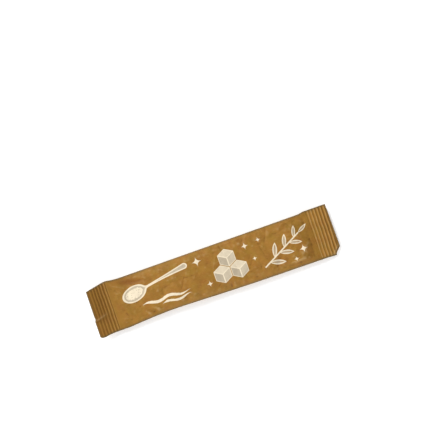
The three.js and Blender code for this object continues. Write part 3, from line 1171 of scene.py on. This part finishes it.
def printedPaper():
    material, tree, shader = newMaterial("printedPaper")
    place = paperPlace(tree)
    fibre = useGroup(tree, fibres, Place=place)
    relief, shadedEdges, wearAndHighlight = [painted(tree, name) for name in ("relief", "edgeShade", "creaseHighlight")]
    hollow, shaded = [painted(tree, name) for name in ("hollow", "sealShade")]
    finish = paperFinish

    def over(below, name, amount):
        return mixColour(tree, below, solid(name), amount)

    def scaled(value, name):
        return calc(tree, "MULTIPLY", value, finish[name])

    mottle = spread(tree, fibre["Mottle"], 0, 1, finish["leastBrown"], 1.0)
    hue = over(solid("oliveBrown"), "orangeBrown", fibre["Warmth"])
    colour = mixColour(tree, over(solid("darkBrown"), "brown", mottle), hue, finish["hueAmount"])
    streak = spread(tree, fibre["Streak"], 0.45, 0.75, 0.0, finish["streakAmount"])
    colour = over(colour, "paleBrown", streak)
    colour = over(colour, "darkBrown", scaled(fibre["Fleck"], "fleckAmount"))
    # Painted highlight on crests and painted shade in troughs, partly rubbed ink
    colour = over(colour, "wearAndHighlight", spread(tree, relief, 0.1, 1.0, 0.0, finish["crestAmount"]))
    colour = over(colour, "trough", spread(tree, relief, -0.1, -1.0, 0.0, finish["troughAmount"]))
    # Painted shade in the hollows of the soft folds, then over the -X seal and beside the +X seal's root
    colour = over(colour, "hollow", scaled(hollow, "hollowAmount"))
    colour = over(colour, "trough", shaded)
    # Painted highlight beside the creases
    colour = over(colour, "wearAndHighlight", scaled(wearAndHighlight, "creaseAmount"))
    # Painted shade along the side folds and the cuts, in the cut core's colour
    colour = over(colour, "cutCoreAndShade", scaled(shadedEdges, "edgeAmount"))

    picture = useGroup(tree, frontPrint(), Place=place)
    ink = over(solid("cream"), "greyCream", picture["Shade"])
    ink = over(ink, "greyCream", spread(tree, fibre["Streak"], 0.5, 0.8, 0.0, finish["inkStreakAmount"]))
    colour = mixColour(tree, colour, ink, scaled(picture["Ink"], "inkAmount"))
    feed(tree, colour, shader["Base Color"])
    feed(tree, spread(tree, fibre["Streak"], 0.3, 0.7, *finish["roughness"]), shader["Roughness"])
    shader["Specular IOR Level"].default_value = finish["sheen"]
    feed(tree, bump(tree, fibre["Height"], 0.25, finish["fibreHeight"]), shader["Normal"])
    return material


def cutEdge():
    material, tree, shader = newMaterial("cutPaperEdge")
    fibre = useGroup(tree, fibres, Place=paperPlace(tree))
    colour = mixColour(tree, solid("cutCoreAndShade"), solid("darkBrown"), fibre["Streak"])
    feed(tree, colour, shader["Base Color"])
    shader["Roughness"].default_value = paperFinish["cutRoughness"]
    feed(tree, bump(tree, fibre["Height"], 0.3, paperFinish["cutFibreHeight"]), shader["Normal"])
    return material


sachet.data.materials.append(printedPaper())
sachet.data.materials.append(cutEdge())
print("paper, print and cut edge painted")

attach(sachet, "root")
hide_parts("pouch")

# A pale floor, two low soft boxes, one on each side of the sachet, and an even sky: metres and watts
studio = {
    "floorSize": 3,
    "floorGrey": 0.95,
    "floorRoughness": 0.9,
    "floorGlow": 0.24,
    "boxes": {"key": ((-1.2, 1.6, 1.15), 56.0), "fill": ((0, -1.99, 1.15), 35.0)},
    "boxSize": 1.4,
    "skyPower": 0.414,
}
bpy.ops.mesh.primitive_plane_add(size=studio["floorSize"])
floor = bpy.context.object
floor.name = "floor"
floorPaint, *_, floorShader = newMaterial("paleFloor")
floorShader["Base Color"].default_value = (*[studio["floorGrey"]] * 3, 1)
floorShader["Roughness"].default_value = studio["floorRoughness"]
floorShader["Emission Color"].default_value = (1, 1, 1, 1)
floorShader["Emission Strength"].default_value = studio["floorGlow"]
floor.data.materials.append(floorPaint)

for name, (place, power) in studio["boxes"].items():
    light = bpy.data.lights.new(name, "AREA")
    light.energy = power
    light.size = studio["boxSize"]
    box = bpy.data.objects.new(name, light)
    box.location = place
    box.rotation_euler = (-Vector(place)).to_track_quat("-Z", "Y").to_euler()
    bpy.context.scene.collection.objects.link(box)

# The camera sees a white sky, which lights the sachet less brightly
world = bpy.data.worlds.new("studio")
world.use_nodes = True
skyTree = world.node_tree
sky = skyTree.nodes["Background"].inputs
sky["Color"].default_value = (1, 1, 1, 1)
seen = skyTree.nodes.new("ShaderNodeLightPath").outputs["Is Camera Ray"]
feed(skyTree, mixValue(skyTree, studio["skyPower"], 1.0, seen), sky["Strength"])
bpy.context.scene.world = world
bpy.context.scene.view_settings.view_transform = "Standard"

view = {
    "frame": 447,                  # pixels on a side
    "packCentre": (213.6, 270.6),  # where the sachet's middle lies in the frame
    "packLength": 256.2,           # pixels from cut to cut
    "azimuth": -19.6,
    "elevation": 84.0,
    "lens": 85.0,
    "sensor": 36.0,
    "nearest": 0.01,
}
azimuth, elevation = math.radians(view["azimuth"]), math.radians(view["elevation"])
back = Vector((math.sin(azimuth) * math.cos(elevation), -math.cos(azimuth) * math.cos(elevation),
               math.sin(elevation)))
right = Vector((math.cos(azimuth), math.sin(azimuth), 0))
upward = back.cross(right)
perPixel = 2 * halfLength * mm / view["packLength"]
distance = perPixel * view["frame"] * view["lens"] / view["sensor"]
offRight = (view["frame"] / 2 - view["packCentre"][0]) * perPixel
offUp = (view["packCentre"][1] - view["frame"] / 2) * perPixel
middle = Vector((0, 0, pillow["fullSide"] * mm))
lens = bpy.data.cameras.new("camera")
lens.lens = view["lens"]
lens.sensor_width = view["sensor"]
lens.clip_start = view["nearest"]
camera = bpy.data.objects.new("camera", lens)
eye = middle + back * distance + right * offRight + upward * offUp
turned = Matrix((right, upward, back)).transposed().to_4x4()
camera.matrix_world = Matrix.Translation(eye) @ turned
bpy.context.scene.collection.objects.link(camera)
bpy.context.scene.camera = camera
print("stage, light and camera set")
